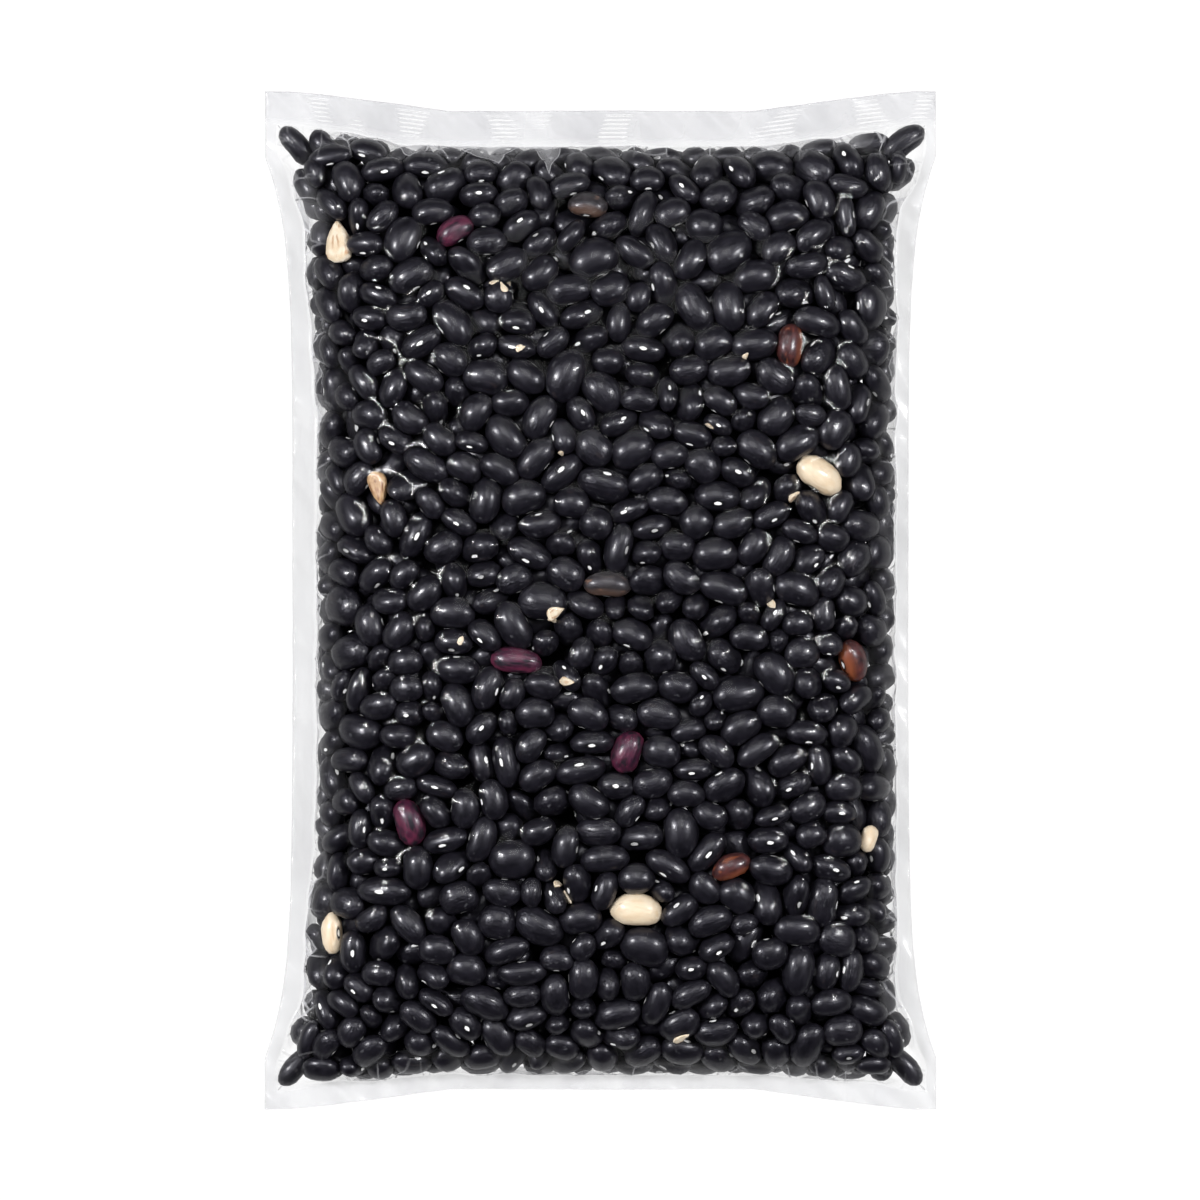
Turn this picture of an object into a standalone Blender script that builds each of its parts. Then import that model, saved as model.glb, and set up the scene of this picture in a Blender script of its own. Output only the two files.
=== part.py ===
"""Clear sealed bag of dried black beans, lying on its back.

The bag is one solid: a pillow of beans that swells out of a thin margin of film, sealed on all
four sides. X runs across the bag, Y along it towards the ribbed seal, and Z up from the surface
that it lies on. Sizes are in metres. The origin is under the middle of the bag, on that surface.

A place on the bag is named by s across it and t along it. Both go from -1 to 1 over the chamber
that holds the beans, and the margins of film lie beyond.
"""

import math
import random

import bmesh
import bpy
from mathutils import Matrix, Vector

# Outline of the film, from corner to corner
FILM_WIDTH = 0.1610
FILM_LENGTH = 0.2442
FILM_PINCH_SIDE = 0.0066  # how far the filled bag draws each long side in
FILM_PINCH_END = 0.0047
CORNER_TAB = 0.008  # the long sides stay straight this far from a corner
SIDE_FADE = 0.016  # then they draw in, by two thirds within this length
END_RAMP = (0.003, 0.042)  # the short sides draw in evenly between these distances
FILM_THICKNESS = 0.0008  # two welded layers, drawn stout enough to be a solid

# Outline of the chamber that holds the beans, at its corners, and its draw-in between them
CHAMBER_LEFT = 0.0757
CHAMBER_RIGHT = 0.0762
CHAMBER_TOP = 0.1128
CHAMBER_BOTTOM = 0.1165
PINCH_LEFT = 0.0075
PINCH_RIGHT = 0.0055
PINCH_TOP = 0.0043
PINCH_BOTTOM = 0.0028

# The distances from a corner over which the chamber is drawn in
SIDE_DRAW = (0.008, 0.028)
END_DRAW = (0.006, 0.040)

# Pillow section, measured from the seam
SEAM_HEIGHT = 0.0185
CROWN_HEIGHT = 0.0448  # top of the highest beans
SIDE_ROUNDNESS = 3.1
END_ROUNDNESS = 5.0
UNDER_ROUNDNESS = 3.6  # the side that lies down is flatter
EDGE_POWER = 0.42
LYING_FLAT = 1.14  # the underside would reach this far below the seam, and the table stops it

# Seal ribs across the top margin
RIB_COUNT = 4
RIB_PITCH = 0.0013
RIB_RELIEF = 0.00035
RIB_FROM_EDGE = 0.0010

# Wave of the margin, up and down
WAVE_RISE = 0.0011
CORNER_LIFT = 0.0016

# Beans
BEAN_LENGTH = 0.0100
BEAN_WIDTH = 0.0070
BEAN_THICKNESS = 0.0056
BEAN_SPREAD = 0.12  # share by which sizes differ
BEAN_GAP = 0.0083  # least distance between two bean middles
BEAN_PROUD = 0.0019  # how far beans stand out of the core
BEANS_ON_TOP = 350
BEANS_BELOW = 40
LOWEST_BEAN = 0.0004
SEAM_CLEARANCE = 0.0022  # least height of a bean's middle over the seam, or depth under it
FLANK_BELOW = 0.0045  # beans that would lie lower than this are left out of the flat underside
EDGE_TURN = 1.44  # radians of the sine that spreads the beans from edge to edge
BEAN_TIP = 0.22  # radians out of the skin's plane
SIX_SIDED = 1.08  # makes a bean with six corners as large as the round one
RIDGE_SHARE = 0.55  # length of its ridge, as a share of the bean's

# Grid of the core
CHAMBER_COLUMNS = 12
CHAMBER_ROWS = 18
TRIES = 20000
SEED = 11

BLACK_COAT = (0.012, 0.012, 0.014, 1.0)


def clear_scene():
    for obj in list(bpy.data.objects):
        bpy.data.objects.remove(obj)


def new_object(name, mesh):
    """An object made from a bmesh, which is then freed."""
    data = bpy.data.meshes.new(name)
    mesh.to_mesh(data)
    mesh.free()
    obj = bpy.data.objects.new(name, data)
    bpy.context.scene.collection.objects.link(obj)
    return obj


def ease(value, start, end):
    """0 up to start, 1 from end on, and a smooth rise between."""
    share = min(max((value - start) / (end - start), 0.0), 1.0)
    return share * share * (3.0 - 2.0 * share)


def half_widths(s, t):
    """Half widths of the chamber and the film at t, on the side where s lies."""
    from_corner = (1.0 - abs(t)) * FILM_LENGTH / 2
    drawn = ease(from_corner, *SIDE_DRAW)
    if s < 0:
        chamber = CHAMBER_LEFT - PINCH_LEFT * drawn
    else:
        chamber = CHAMBER_RIGHT - PINCH_RIGHT * drawn
    film_drawn = 1.0 - math.exp(-max(from_corner - CORNER_TAB, 0.0) / SIDE_FADE)
    return chamber, FILM_WIDTH / 2 - FILM_PINCH_SIDE * film_drawn


def half_lengths(s, t):
    """Half lengths of the chamber and the film at s, on the end where t lies."""
    from_corner = (1.0 - abs(s)) * FILM_WIDTH / 2
    drawn = ease(from_corner, *END_DRAW)
    if t < 0:
        chamber = CHAMBER_BOTTOM - PINCH_BOTTOM * drawn
    else:
        chamber = CHAMBER_TOP - PINCH_TOP * drawn
    ramp_start, ramp_end = END_RAMP
    film_drawn = min(max((from_corner - ramp_start) / (ramp_end - ramp_start), 0.0), 1.0)
    return chamber, FILM_LENGTH / 2 - FILM_PINCH_END * film_drawn


def plan_point(s, t, out_x=0.0, out_y=0.0):
    """X and Y of a place. out_x and out_y go from 0 at the chamber to 1 at the film's edge."""
    chamber_x, film_x = half_widths(s, t)
    chamber_y, film_y = half_lengths(s, t)
    x = s * chamber_x + math.copysign(out_x * (film_x - chamber_x), s)
    y = t * chamber_y + math.copysign(out_y * (film_y - chamber_y), t)
    return x, y


def seam_height(x, y, outward):
    """Height of the seam, which waves and lifts at the corners towards the film's edge."""
    across = x / (FILM_WIDTH / 2)
    along = y / (FILM_LENGTH / 2)
    end_wave = math.sin(9.0 * across + 1.3) * along**4
    side_wave = math.sin(11.0 * along) * across**4
    corner = (across * along) ** 4
    return SEAM_HEIGHT + outward * (WAVE_RISE * (end_wave + side_wave) + CORNER_LIFT * corner)


def swell(s, t, roundness):
    """Share of the full depth that the pillow has at a place in the chamber."""
    side = max(1.0 - abs(s) ** roundness, 0.0) ** EDGE_POWER
    end = max(1.0 - abs(t) ** END_ROUNDNESS, 0.0) ** EDGE_POWER
    return side * end


def bag_height(s, t, upper, inset=0.0):
    """Height of the bag's skin over the chamber. inset brings it in towards the middle."""
    across = s * (1.0 + inset / CHAMBER_LEFT)
    along = t * (1.0 + inset / CHAMBER_TOP)
    if upper:
        rise = CROWN_HEIGHT - SEAM_HEIGHT - inset
        return SEAM_HEIGHT + rise * swell(across, along, SIDE_ROUNDNESS)
    depth = SEAM_HEIGHT * LYING_FLAT * swell(across, along, UNDER_ROUNDNESS)
    return max(SEAM_HEIGHT - depth, 0.0)


def skin_point(s, t, upper):
    x, y = plan_point(s, t)
    return Vector((x, y, bag_height(s, t, upper)))


def lattice_lines(count, start_margin, end_margin):
    """(place in the chamber, share of the margin) of each grid line from one edge to the other."""
    lines = [(-1.0, share) for share in start_margin]
    for index in range(count + 1):
        lines.append((math.sin(math.pi / 2 * (2 * index / count - 1)), 0.0))
    lines += [(1.0, share) for share in end_margin]
    return lines


def rib_shares():
    """Shares of the top margin at which the seal's ribs turn, from the chamber out."""
    margin = FILM_LENGTH / 2 - CHAMBER_TOP
    from_edge = [RIB_FROM_EDGE + RIB_PITCH * turn / 2 for turn in range(2 * RIB_COUNT + 1)]
    return [1.0 - distance / margin for distance in reversed(from_edge)]


def core_heights(x, y, s, t, outward, relief):
    """Heights of the upper and the lower skin at a grid point."""
    seam = seam_height(x, y, outward) + relief
    top = seam + FILM_THICKNESS / 2
    bottom = seam - FILM_THICKNESS / 2
    if outward > 0.0:
        return top, bottom
    top += bag_height(s, t, True, BEAN_PROUD) - SEAM_HEIGHT
    bottom += bag_height(s, t, False, BEAN_PROUD) - SEAM_HEIGHT
    return top, max(bottom, 0.0)


def close_skins(mesh, top, bottom, columns, rows):
    """Fills the upper and the lower skin, and the rim between them."""
    for j in range(rows):
        for i in range(columns):
            corners = [(i, j), (i + 1, j), (i + 1, j + 1), (i, j + 1)]
            mesh.faces.new([top[corner] for corner in corners])
            mesh.faces.new([bottom[corner] for corner in reversed(corners)])
    rim = [(i, 0) for i in range(columns)]
    rim += [(columns, j) for j in range(rows)]
    rim += [(i, rows) for i in range(columns, 0, -1)]
    rim += [(0, j) for j in range(rows, 0, -1)]
    for here, after in zip(rim, rim[1:] + rim[:1]):
        mesh.faces.new([bottom[here], bottom[after], top[after], top[here]])


def make_core():
    """The pillow under the beans, and the margin of film round it, as one closed mesh."""
    ribs = rib_shares()
    columns = lattice_lines(CHAMBER_COLUMNS, [1.0], [1.0])
    rows = lattice_lines(CHAMBER_ROWS, [1.0], ribs + [1.0])
    first_rib = len(rows) - len(ribs) - 1
    mesh = bmesh.new()
    top, bottom = {}, {}
    for j, (t, out_y) in enumerate(rows):
        for i, (s, out_x) in enumerate(columns):
            x, y = plan_point(s, t, out_x, out_y)
            relief = 0.0
            if first_rib <= j < len(rows) - 1 and 0 < i < len(columns) - 1:
                relief = RIB_RELIEF if (j - first_rib) % 2 else -RIB_RELIEF
            high, low = core_heights(x, y, s, t, max(out_x, out_y), relief)
            top[i, j] = mesh.verts.new((x, y, high))
            bottom[i, j] = mesh.verts.new((x, y, low))
    close_skins(mesh, top, bottom, len(columns) - 1, len(rows) - 1)
    flat = math.radians(0.5)
    bmesh.ops.dissolve_limit(mesh, angle_limit=flat, verts=mesh.verts[:], edges=mesh.edges[:])
    bmesh.ops.recalc_face_normals(mesh, faces=mesh.faces[:])
    return new_object("bag_of_beans", mesh)


def skin_frame(s, t, upper):
    """A point of the skin and its normal, from two small steps along it."""
    step = 0.004
    along_s = skin_point(s + step, t, upper) - skin_point(s - step, t, upper)
    along_t = skin_point(s, t + step, upper) - skin_point(s, t - step, upper)
    normal = along_s.cross(along_t).normalized()
    if not upper:
        normal = -normal
    return skin_point(s, t, upper), normal


def bean_places(rng, upper, wanted, taken):
    """Throws points at the skin and keeps those far enough from the ones already kept."""
    kept = []
    for _ in range(TRIES):
        s = math.sin(rng.uniform(-EDGE_TURN, EDGE_TURN))
        t = math.sin(rng.uniform(-EDGE_TURN, EDGE_TURN))
        point, normal = skin_frame(s, t, upper)
        middle = point - normal * BEAN_THICKNESS / 2
        if upper:
            middle.z = max(middle.z, SEAM_HEIGHT + SEAM_CLEARANCE)
        elif not FLANK_BELOW < middle.z < SEAM_HEIGHT - SEAM_CLEARANCE:
            continue
        if all((middle - other).length > BEAN_GAP for other in taken):
            taken.append(middle)
            kept.append((middle, normal))
        if len(kept) == wanted:
            break
    return kept


def add_bean_hull(mesh, size):
    """Six corners round the middle, and a short ridge on each face."""
    for corner in range(6):
        angle = math.radians(60 * corner)
        x = SIX_SIDED * math.cos(angle) * BEAN_LENGTH / 2
        y = SIX_SIDED * math.sin(angle) * BEAN_WIDTH / 2
        mesh.verts.new((size * x, size * y, 0.0))
    for end in (-1, 1):
        for face in (-1, 1):
            x = end * RIDGE_SHARE * BEAN_LENGTH / 2
            mesh.verts.new((size * x, 0.0, size * face * BEAN_THICKNESS / 2))
    bmesh.ops.convex_hull(mesh, input=mesh.verts[:])


def make_bean(rng, middle, normal, number):
    """A bean turned at random about the skin's normal, and tipped a little."""
    mesh = bmesh.new()
    add_bean_hull(mesh, 1.0 + rng.uniform(-BEAN_SPREAD, BEAN_SPREAD))
    tip_across = Matrix.Rotation(rng.uniform(-BEAN_TIP, BEAN_TIP), 4, "X")
    tip_along = Matrix.Rotation(rng.uniform(-BEAN_TIP, BEAN_TIP), 4, "Y")
    turn = Matrix.Rotation(rng.uniform(0.0, math.pi), 4, "Z")
    upright = normal.to_track_quat("Z", "Y").to_matrix().to_4x4()
    mesh.transform(Matrix.Translation(middle) @ upright @ turn @ tip_across @ tip_along)
    lowest = min(vert.co.z for vert in mesh.verts)
    if lowest < LOWEST_BEAN:
        mesh.transform(Matrix.Translation((0, 0, LOWEST_BEAN - lowest)))
    return new_object(f"bean_{number}", mesh)


def fuse_beans(core, beans):
    """One union of all the beans with the core. The loose beans are then removed."""
    heap = bpy.data.collections.new("beans")
    bpy.context.scene.collection.children.link(heap)
    for bean in beans:
        bpy.context.scene.collection.objects.unlink(bean)
        heap.objects.link(bean)
    union = core.modifiers.new("beans", "BOOLEAN")
    union.operation = "UNION"
    union.operand_type = "COLLECTION"
    union.collection = heap
    union.solver = "MANIFOLD"
    bpy.context.view_layer.update()
    evaluated = core.evaluated_get(bpy.context.evaluated_depsgraph_get())
    fused = bpy.data.meshes.new_from_object(evaluated)
    core.modifiers.clear()
    core.data = fused
    for bean in beans:
        bpy.data.objects.remove(bean)
    bpy.data.collections.remove(heap)


def keep_main_body(obj):
    """Drops what the union leaves loose: a chip that touches nothing, or the skin of a hollow."""
    mesh = bmesh.new()
    mesh.from_mesh(obj.data)
    unseen = set(mesh.verts)
    bodies = []
    while unseen:
        body = set()
        fresh = {unseen.pop()}
        while fresh:
            body |= fresh
            fresh = {edge.other_vert(vert) for vert in fresh for edge in vert.link_edges} - body
        unseen -= body
        bodies.append(body)
    bodies.sort(key=len)
    loose = [vert for body in bodies[:-1] for vert in body]
    bmesh.ops.delete(mesh, geom=loose, context="VERTS")
    mesh.to_mesh(obj.data)
    mesh.free()


def give_material(obj):
    material = bpy.data.materials.new("beans_under_film")
    material.use_nodes = True
    shader = material.node_tree.nodes["Principled BSDF"]
    shader.inputs["Base Color"].default_value = BLACK_COAT
    shader.inputs["Roughness"].default_value = 0.35
    shader.inputs["Metallic"].default_value = 0.0
    obj.data.materials.clear()
    obj.data.materials.append(material)


def main():
    clear_scene()
    rng = random.Random(SEED)
    core = make_core()
    taken = []
    places = bean_places(rng, True, BEANS_ON_TOP, taken)
    places += bean_places(rng, False, BEANS_BELOW, taken)
    beans = [make_bean(rng, middle, normal, n) for n, (middle, normal) in enumerate(places)]
    print(len(beans), "beans")
    fuse_beans(core, beans)
    keep_main_body(core)
    give_material(core)


main()
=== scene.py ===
# %% [markdown]
# # A clear bag of dried black beans
#
# A pillow bag is two sheets of clear film, welded together round all four sides. Filled with two
# pounds of beans it swells in the middle and draws its sides in, and the film lies tight on the
# beans. This lesson loads the solid bag as a fixed frame, packs loose beans into its shape, pulls
# a thin film over them, and lights the result on a pale floor.

# %% Load the frame
import math

import bpy
import numpy as np
from mathutils import Matrix, Vector
from mathutils.bvhtree import BVHTree


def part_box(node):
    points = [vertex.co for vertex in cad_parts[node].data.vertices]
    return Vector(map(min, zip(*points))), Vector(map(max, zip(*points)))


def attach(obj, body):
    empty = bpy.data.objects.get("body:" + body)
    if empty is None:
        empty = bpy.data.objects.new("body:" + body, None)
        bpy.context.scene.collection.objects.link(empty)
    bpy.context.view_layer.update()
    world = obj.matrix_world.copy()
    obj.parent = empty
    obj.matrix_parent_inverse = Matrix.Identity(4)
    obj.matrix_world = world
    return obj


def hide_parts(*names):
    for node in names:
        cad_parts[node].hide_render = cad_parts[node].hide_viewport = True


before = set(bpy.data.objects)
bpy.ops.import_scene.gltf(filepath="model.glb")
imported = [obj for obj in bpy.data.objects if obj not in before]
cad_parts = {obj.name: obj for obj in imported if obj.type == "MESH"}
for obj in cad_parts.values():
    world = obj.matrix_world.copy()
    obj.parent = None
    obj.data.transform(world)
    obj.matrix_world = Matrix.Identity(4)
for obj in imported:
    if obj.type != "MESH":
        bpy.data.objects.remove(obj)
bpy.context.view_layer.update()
NODE = "bag_of_beans"
box_low, box_high = [np.array(corner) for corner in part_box(NODE)]
print("the bag measures", np.round((box_high - box_low) * 1000, 1), "mm")

# %% [markdown]
# ## The shape of the bag
#
# A place on the bag is named by s across it and t along it, each from -1 to 1 over the chamber
# that holds the beans. Near the corners the sheets lie flat and keep their full width. Between
# them the beans push the sheets apart, and that draws the sides in, on the left a little more
# towards the middle. The section is a flattened curve, steep at the seam and nearly level in the
# middle.

# %% Sizes of the bag, in metres
FILM_WIDTH, FILM_LENGTH = (box_high - box_low)[:2]
FILM_PINCH_SIDE = 0.0066
FILM_PINCH_END = 0.0047
CORNER_TAB = 0.008  # the long sides stay straight this far from a corner
SIDE_FADE = 0.016  # then they draw in, by two thirds within this length
END_RAMP = (0.003, 0.042)  # the short sides draw in evenly between these distances
CHAMBER_LEFT, CHAMBER_RIGHT = 0.0757, 0.0762
CHAMBER_TOP, CHAMBER_BOTTOM = 0.1128, 0.1165
PINCH_LEFT, PINCH_RIGHT = 0.0078, 0.0055
PINCH_TOP, PINCH_BOTTOM = 0.0043, 0.0028
EAR_DRAW = (0.007, 0.024)  # the beans thin out to a point faster than the film draws in
WAIST_DRAW, WAIST_SHARE = (0.030, 0.075), 0.35  # the left side narrows on, towards its middle
END_DRAW = (0.006, 0.040)
SEAM_HEIGHT = 0.0185
CROWN_HEIGHT = 0.0450
SIDE_ROUNDNESS, UNDER_ROUNDNESS, END_ROUNDNESS = 3.1, 3.6, 5.0
EDGE_POWER = 0.42
LYING_FLAT = 1.14
WAVE_RISE = 0.0011
CORNER_LIFT = 0.0016
TABLE_GAP = 0.0004  # beans stay this far above the table


# %% The outline
def ease(value, start, end):
    """0 up to start, 1 from end on, and a smooth rise between."""
    share = np.clip((value - start) / (end - start), 0.0, 1.0)
    return share * share * (3.0 - 2.0 * share)


def half_widths(s, t):
    """Half widths of the chamber and the film at t, on the side where s lies."""
    from_end = (1.0 - np.abs(t)) * FILM_LENGTH / 2
    drawn = 1 - np.exp(-np.maximum(from_end - CORNER_TAB, 0) / SIDE_FADE)
    ear, waist = ease(from_end, *EAR_DRAW), ease(from_end, *WAIST_DRAW)
    left = CHAMBER_LEFT - PINCH_LEFT * (ear + WAIST_SHARE * (waist - ear))
    right = CHAMBER_RIGHT - PINCH_RIGHT * ear
    return np.where(s < 0, left, right), FILM_WIDTH / 2 - FILM_PINCH_SIDE * drawn


def half_lengths(s, t):
    """Half lengths of the chamber and the film at s, on the end where t lies."""
    from_side = (1.0 - np.abs(s)) * FILM_WIDTH / 2
    drawn = ease(from_side, *END_DRAW)
    bottom = CHAMBER_BOTTOM - PINCH_BOTTOM * drawn
    top = CHAMBER_TOP - PINCH_TOP * drawn
    film_drawn = np.clip((from_side - END_RAMP[0]) / (END_RAMP[1] - END_RAMP[0]), 0, 1)
    return np.where(t < 0, bottom, top), FILM_LENGTH / 2 - FILM_PINCH_END * film_drawn


def plan_point(s, t, out_x=0.0, out_y=0.0):
    """X and Y of a place. out_x and out_y go from 0 at the chamber to 1 at the film's edge."""
    chamber_x, film_x = half_widths(s, t)
    chamber_y, film_y = half_lengths(s, t)
    x = s * chamber_x + np.sign(s) * out_x * (film_x - chamber_x)
    y = t * chamber_y + np.sign(t) * out_y * (film_y - chamber_y)
    return x, y


def place_of(x, y):
    """The s and t of a point. Each depends a little on the other, so they are found in rounds."""
    s, t = x / CHAMBER_LEFT, y / CHAMBER_TOP
    for _ in range(3):
        across = half_widths(s, np.clip(t, -1, 1))[0]
        along = half_lengths(np.clip(s, -1, 1), t)[0]
        s, t = x / across, y / along
    return s, t


# %% The section
def cover(s, t, roundness):
    """1 in the middle of the chamber, 0 at its edge and below 0 outside it."""
    side = 1.0 - np.abs(s) ** roundness
    end = 1.0 - np.abs(t) ** END_ROUNDNESS
    return np.where(np.minimum(side, end) > 0, side * end, np.minimum(side, end))


def skin_point(s, t, upper):
    """A point of the bag's skin."""
    x, y = plan_point(s, t)
    share = np.maximum(cover(s, t, SIDE_ROUNDNESS if upper else UNDER_ROUNDNESS), 0) ** EDGE_POWER
    if upper:
        z = SEAM_HEIGHT + (CROWN_HEIGHT - SEAM_HEIGHT) * share
    else:
        z = np.maximum(SEAM_HEIGHT * (1.0 - LYING_FLAT * share), 0.0)
    return np.stack([x, y, z], -1)


def fullness(points):
    """Positive inside the bag, 0 on its skin and negative outside."""
    s, t = place_of(points[..., 0], points[..., 1])
    up = points[..., 2] - SEAM_HEIGHT
    rise = np.maximum(up, 0) / (CROWN_HEIGHT - SEAM_HEIGHT)
    fall = np.maximum(-up, 0) / (SEAM_HEIGHT * LYING_FLAT)
    above = cover(s, t, SIDE_ROUNDNESS) - rise ** (1 / EDGE_POWER)
    below = cover(s, t, UNDER_ROUNDNESS) - fall ** (1 / EDGE_POWER)
    return np.where(up > 0, above, below)


def skin_depth(points, step=0.0003):
    """How far points lie inside the skin, and the direction inwards."""
    value = fullness(points)
    slope = np.stack([
        (fullness(points + step * axis) - fullness(points - step * axis)) / (2 * step)
        for axis in np.eye(3)
    ], -1)
    steepness = np.linalg.norm(slope, axis=-1) + 1e-9
    depth = value / steepness
    inward = slope / steepness[..., None]
    over_table = points[..., 2] - TABLE_GAP
    on_table = over_table < depth
    return np.where(on_table, over_table, depth), np.where(on_table[..., None], [0, 0, 1], inward)


print("crown", skin_point(0.0, 0.0, True) * 1000, "mm")

# %% [markdown]
# ## Packing the beans
#
# Beans in a tight bag lie every way, but never through each other. A physics engine could drop
# them in, and that is slow for two thousand pieces. Here each bean is six balls on a ring, as
# flat as the bean. In each round, beans that overlap push each other apart and turn a little, the
# skin pushes them in, and a light pull brings them out against the film. After some two hundred
# rounds they lie packed. Only the outer two layers are made, because nothing deeper shows.

# %% The size of the beans, and the odd ones that the eye finds first
rng = np.random.default_rng(7)
BEAN_HALF = np.array([0.00505, 0.00368, 0.00300])
BEAN_SPREAD = np.array([0.085, 0.080, 0.060])
SIZE_SPREAD = 0.095  # small and large beans of the same form
BEAN_CELL = 0.0062  # one bean starts in each cube of this size
SHELL = (0.0022, 0.0118)  # depths under the skin between which beans start
BALL_COUNT = 6
BALL_ANGLES = np.arange(BALL_COUNT) * 2 * math.pi / BALL_COUNT
BALL_SIZES = np.where(np.abs(np.cos(BALL_ANGLES)) > 0.9, 0.92, 0.98)
LYING = (-8, 46)  # mean and spread of a bean's turn on the film, in degrees
TURNED_ROUND = 0.3  # share of beans that lie the other way round
ROLL = (24, 30)  # mean and spread of the roll that brings the hollow side up
DIVE = 15  # spread of the tilt of the long axis
LOOSE = 0.2  # share of beans that lie any way at all
CORNER_BEAN = (0.97, 0.93)  # past these shares of s and t a placed bean lies level at the seam

# kind, across and along in mm, turn in degrees, length and width in mm
ODD_BEANS = [
    ("cream", 53.2, 29.6, -32, 12.8, 7.8),
    ("cream", 8.6, -73.8, -4, 12.6, 8.0),
    ("cream", -65.8, -79.4, 92, 10.2, 5.6),
    ("cream", 65.4, -56.8, 60, 6.6, 4.6),
    ("wine", -20.0, -14.4, -6, 12.4, 6.4),
    ("wine", 6.4, -36.0, 72, 10.6, 7.4),
    ("wine", -46.2, -52.8, -72, 11.6, 7.6),
    ("wine", -34.8, 88.4, 32, 9.6, 6.6),
    ("russet", 45.6, 60.5, 84, 10.6, 6.6),
    ("russet", 31.2, -63.2, 22, 9.6, 6.2),
    ("russet", 61.8, -14.4, -70, 10.6, 7.0),
    ("tan", -3.0, 95.0, -8, 9.6, 6.4),
    ("tan", 1.6, 3.6, -4, 11.6, 6.2),
    ("husk", -53.6, 26.6, -80, 8.4, 4.4),
    ("wedge", -64.2, 85.7, 97, 10.4, 6.4),
    ("black", -72.9, 109.0, -52, 11.4, 5.8),
    ("black", -65.0, 107.6, 10, 10.8, 5.6),
    ("black", -69.6, 102.2, -66, 7.6, 5.4),
    ("black", 72.6, 109.7, 36, 12.2, 6.4),
    ("black", 64.2, 109.4, 12, 10.4, 5.4),
    ("black", 72.8, 103.4, 84, 8.0, 5.0),
    ("black", -73.0, -112.0, 48, 11.6, 5.6),
    ("black", -65.8, -112.9, 4, 8.4, 5.0),
    ("black", -71.4, -104.6, 68, 10.0, 5.2),
    ("black", 73.0, -112.0, -48, 11.4, 5.8),
    ("black", 65.6, -112.8, -4, 9.0, 5.2),
    ("black", 71.4, -104.4, -70, 9.8, 5.4),
    ("black", -66.6, -106.8, 40, 9.0, 6.2),
    ("black", 66.8, -106.6, -36, 9.0, 6.2),
]

# across and along in mm, turn in degrees, length and width in mm
CRUMBS = [
    (45.7, 24.7, 30, 3.2, 2.6),
    (-10.7, -2.9, 20, 4.4, 3.0),
    (-11.2, -4.6, -60, 2.6, 1.6),
    (-7.8, -70.1, 80, 3.6, 3.0),
    (-10.2, -67.4, 0, 2.2, 1.8),
    (-7.8, -19.2, 0, 4.2, 2.0),
    (-24.6, 75.4, 35, 4.0, 1.3),
    (-23.0, 74.0, 110, 3.4, 1.2),
    (-21.8, 75.2, 80, 2.6, 1.2),
    (-33.0, -9.6, 60, 2.2, 1.4),
    (19.1, -103.9, 40, 4.4, 2.6),
    (40.7, -1.2, -50, 3.8, 1.8),
    (-18.8, 59.5, 10, 2.4, 1.6),
    (34.3, 57.8, 50, 2.0, 1.4),
    (-9.2, 34.8, 60, 2.4, 1.5),
    (25.9, 41.2, -30, 2.2, 1.2),
]
print(len(ODD_BEANS), "placed beans and", len(CRUMBS), "crumbs")


# %% Where beans start
def random_turns(count):
    """Rotation matrices that point every way alike."""
    quarter = rng.normal(size=(count, 4))
    quarter /= np.linalg.norm(quarter, axis=1)[:, None]
    w, x, y, z = quarter.T
    rows = [
        [1 - 2 * (y * y + z * z), 2 * (x * y - w * z), 2 * (x * z + w * y)],
        [2 * (x * y + w * z), 1 - 2 * (x * x + z * z), 2 * (y * z - w * x)],
        [2 * (x * z - w * y), 2 * (y * z + w * x), 1 - 2 * (x * x + y * y)],
    ]
    return np.array(rows).transpose(2, 0, 1)


def lying_turns(places):
    """Turns for beans that mostly lie on their flat side against the film, more across than along.

    The hollow side faces down the picture, and a little up at the camera, for most of them.
    """
    count = len(places)
    _, inward = skin_depth(places)
    up = -inward
    side = np.cross([0, 1, 0], up)
    side /= np.linalg.norm(side, axis=1)[:, None] + 1e-9
    frames = np.stack([side, np.cross(up, side), up], -1)
    lying = rng.normal(*LYING, count) + 180 * (rng.random(count) < TURNED_ROUND)
    rolls = -np.abs(rng.normal(*ROLL, count))
    dives = rng.normal(0, DIVE, count)
    for index in range(count):
        small = (Matrix.Rotation(math.radians(lying[index]), 3, "Z")
                 @ Matrix.Rotation(math.radians(dives[index]), 3, "Y")
                 @ Matrix.Rotation(math.radians(rolls[index]), 3, "X"))
        frames[index] = frames[index] @ np.array(small)
    loose = rng.random(count) < LOOSE
    frames[loose] = random_turns(int(loose.sum()))
    return frames


def start_beans():
    """Jittered places in a grid, where they fall within the shell under the skin."""
    grid = [np.arange(low, high, BEAN_CELL) for low, high in zip(box_low, box_high)]
    places = np.stack(np.meshgrid(*grid, indexing="ij"), -1).reshape(-1, 3)
    places += rng.uniform(0, 0.9 * BEAN_CELL, places.shape)
    depth, _ = skin_depth(places)
    return places[(depth > SHELL[0]) & (depth < SHELL[1])]


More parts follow.
